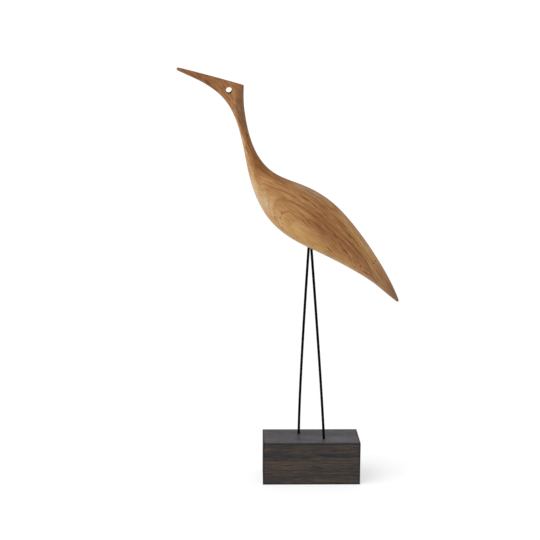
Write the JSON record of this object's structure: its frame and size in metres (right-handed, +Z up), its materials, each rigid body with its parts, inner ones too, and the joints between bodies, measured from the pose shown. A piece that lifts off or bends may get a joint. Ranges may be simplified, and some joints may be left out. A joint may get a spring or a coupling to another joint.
{
  "type": "wooden heron figurine",
  "caption": "Carved wooden wading bird with a drilled eye, standing on slim bowed wires in a dark rectangular wooden block.",
  "frame": {"origin": "centre of the block's flat underside", "axes": "+Z up; the bird faces -X, so its left flank is on the -Y side"},
  "size_m": [0.2011, 0.04, 0.3788],
  "materials": {
    "bird_wood": "satin oiled, brown figured grain",
    "black_wire": "satin black",
    "stained_block": "dark stained, satin, open grain"
  },
  "bodies": {
    "root": {"carved_heron": "bird_wood", "left_leg": "black_wire", "right_leg": "black_wire", "base_block": "stained_block"}
  },
  "joints": []
}
